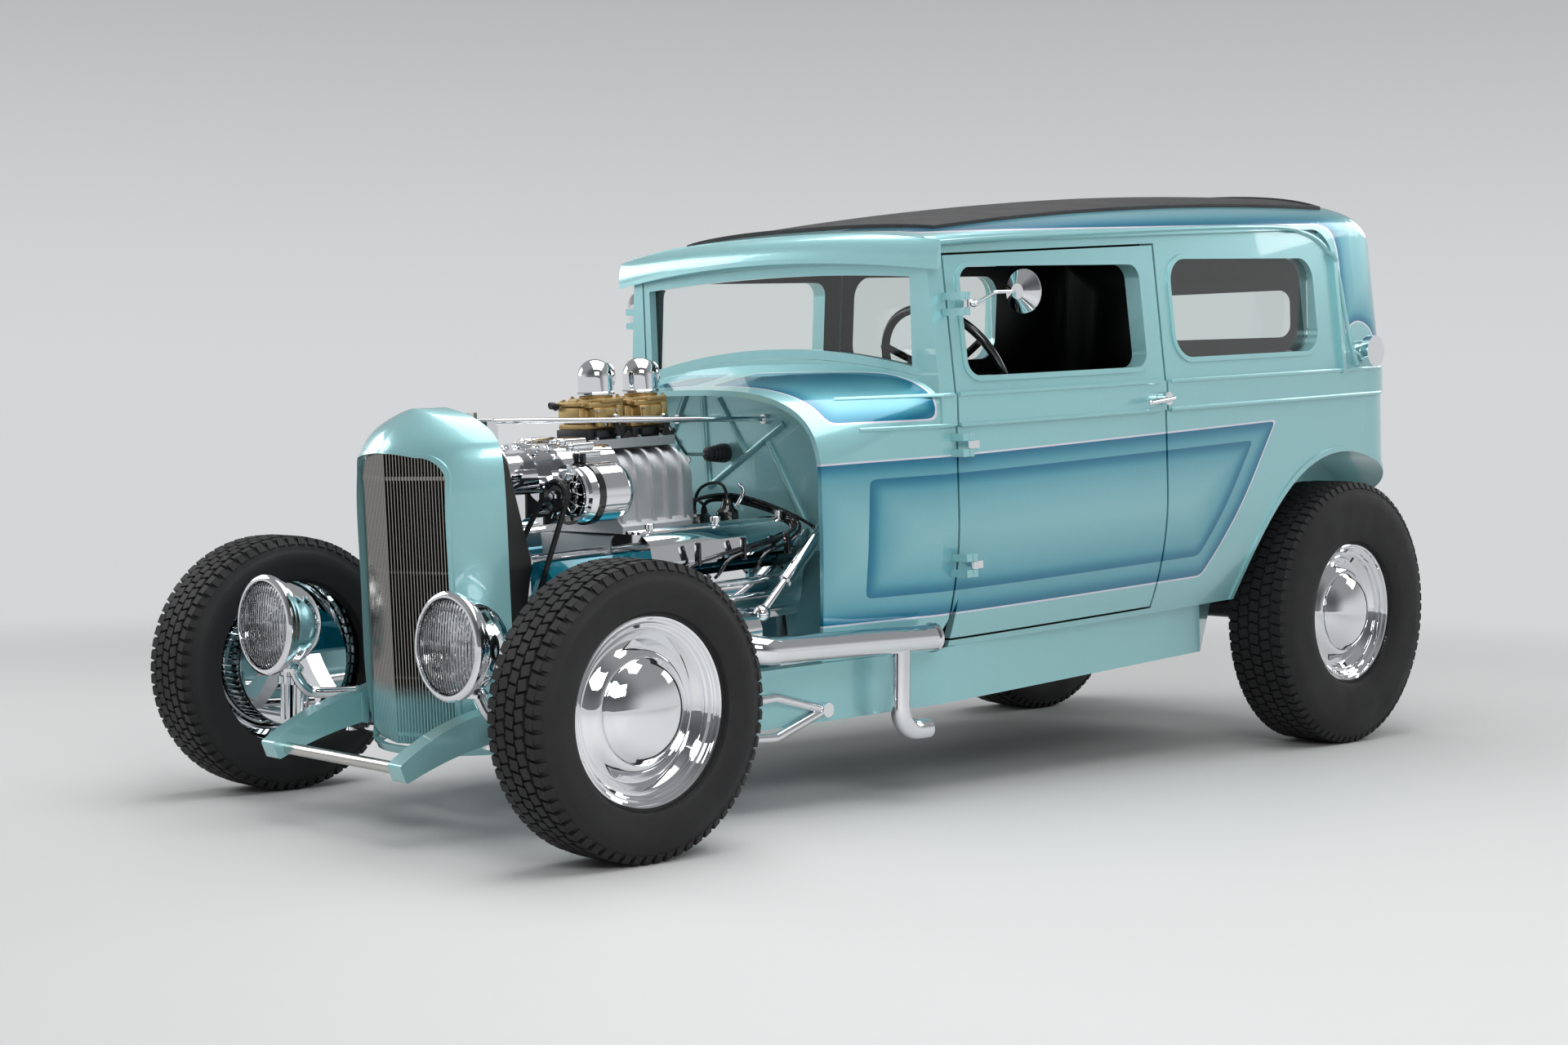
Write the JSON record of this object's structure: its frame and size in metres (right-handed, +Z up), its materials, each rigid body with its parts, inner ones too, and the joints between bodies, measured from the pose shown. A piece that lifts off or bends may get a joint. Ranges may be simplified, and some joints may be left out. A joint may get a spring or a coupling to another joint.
{
  "type": "hot rod sedan",
  "caption": "Low fenderless two-door hot rod sedan with an open supercharged engine, drilled front axle, opening doors, steering front wheels and a closed cabin.",
  "frame": {"origin": "on the ground, midway along and across the car", "axes": "forward is -Y, the car's left is +X, up is +Z"},
  "size_m": [1.4884, 3.3674, 1.5755],
  "materials": {
    "body_paint": "gloss metallic",
    "block_paint": "gloss",
    "chrome": "polished",
    "polished": "polished",
    "cast": "cast",
    "steel": "satin",
    "dark_steel": "satin",
    "gold": "plated",
    "tyre_rubber": "matte",
    "belt_rubber": "matte",
    "black_vinyl": "grained",
    "seat_cover": "satin",
    "black_trim": "matte",
    "wheel_grip": "gloss",
    "clear_glass": "clear",
    "lamp_glass": "fluted",
    "red_glass": "clear"
  },
  "bodies": {
    "chassis": {"front_axle": "chrome", "front_suspension": "chrome", "headlights": "chrome", "valve_covers": "chrome", "air_scoops": "chrome", "exhaust_pipes": "chrome", "alternator": "chrome", "windshield_frame": "chrome", "fuel_filler": "chrome", "frame": "body_paint", "grille_shell": "body_paint", "body_shell": "body_paint", "visor": "body_paint", "firewall": "body_paint", "door_hinges": "body_paint", "dashboard": "body_paint", "spreader_bar": "steel", "steering_column": "steel", "grille_bars": "polished", "blower_case": "polished", "blower_gear_case": "polished", "blower_pulleys": "polished", "radiator": "polished", "gearbox": "cast", "engine_block": "block_paint", "carburettors": "gold", "drive_belt": "belt_rubber", "roof_insert": "black_vinyl", "front_seats": "seat_cover", "rear_seat": "seat_cover", "floor": "black_trim", "rear_axle": "dark_steel", "rear_springs": "dark_steel", "fuel_tank": "dark_steel", "window_glass": "clear_glass", "headlight_lenses": "lamp_glass", "tail_lamps": "red_glass"},
    "wheel_fl": {"tyre_front_left": "tyre_rubber", "wheel_front_left": "chrome"},
    "wheel_fr": {"tyre_front_right": "tyre_rubber", "wheel_front_right": "chrome"},
    "wheel_rl": {"tyre_rear_left": "tyre_rubber", "wheel_rear_left": "chrome"},
    "wheel_rr": {"tyre_rear_right": "tyre_rubber", "wheel_rear_right": "chrome"},
    "knuckle_l": {"knuckle_left": "chrome"},
    "knuckle_r": {"knuckle_right": "chrome"},
    "track_rod": {"tie_rod": "chrome"},
    "steering": {"steering_wheel": "wheel_grip"},
    "door_l": {"door_left": "body_paint", "door_fittings_left": "chrome"},
    "door_r": {"door_right": "body_paint", "door_fittings_right": "chrome"}
  },
  "joints": [
    {"name": "steer_left", "type": "hinge", "parent": "chassis", "child": "knuckle_l", "pos_m": [0.556, -1.37875, 0.305], "axis": [0, 0, 1], "range_deg": [-20, 20]},
    {"name": "steer_right", "type": "hinge", "parent": "chassis", "child": "knuckle_r", "pos_m": [-0.556, -1.37875, 0.305], "axis": [0, 0, 1], "range_deg": [-20, 20]},
    {"name": "track_rod_pivot", "type": "hinge", "parent": "knuckle_l", "child": "track_rod", "pos_m": [0.522, -1.25775, 0.155], "axis": [0, 0, 1], "range_deg": [-20, 20]},
    {"name": "steering_turn", "type": "hinge", "parent": "chassis", "child": "steering", "pos_m": [0.325, -0.06839, 1.01689], "axis": [0, 0.8526, 0.5225], "range_deg": [-200, 200]},
    {"name": "spin_front_left", "type": "hinge", "parent": "knuckle_l", "child": "wheel_fl", "pos_m": [0.652, -1.37875, 0.305], "axis": [1, 0, 0], "continuous": true},
    {"name": "spin_front_right", "type": "hinge", "parent": "knuckle_r", "child": "wheel_fr", "pos_m": [-0.652, -1.37875, 0.305], "axis": [1, 0, 0], "continuous": true},
    {"name": "spin_rear_left", "type": "hinge", "parent": "chassis", "child": "wheel_rl", "pos_m": [0.557, 1.31325, 0.3705], "axis": [1, 0, 0], "continuous": true},
    {"name": "spin_rear_right", "type": "hinge", "parent": "chassis", "child": "wheel_rr", "pos_m": [-0.557, 1.31325, 0.3705], "axis": [1, 0, 0], "continuous": true},
    {"name": "door_left_swing", "type": "hinge", "parent": "chassis", "child": "door_l", "pos_m": [0.596, -0.28202, 0.84052], "axis": [0, 0.061, -0.9981], "range_deg": [0, 70]},
    {"name": "door_right_swing", "type": "hinge", "parent": "chassis", "child": "door_r", "pos_m": [-0.596, -0.28202, 0.84052], "axis": [0, -0.061, 0.9981], "range_deg": [0, 70]}
  ],
  "couplings": [
    {"joint": "steer_right", "follows": "steer_left", "ratio": 1},
    {"joint": "track_rod_pivot", "follows": "steer_left", "ratio": -1},
    {"joint": "steering_turn", "follows": "steer_left", "ratio": 10}
  ]
}
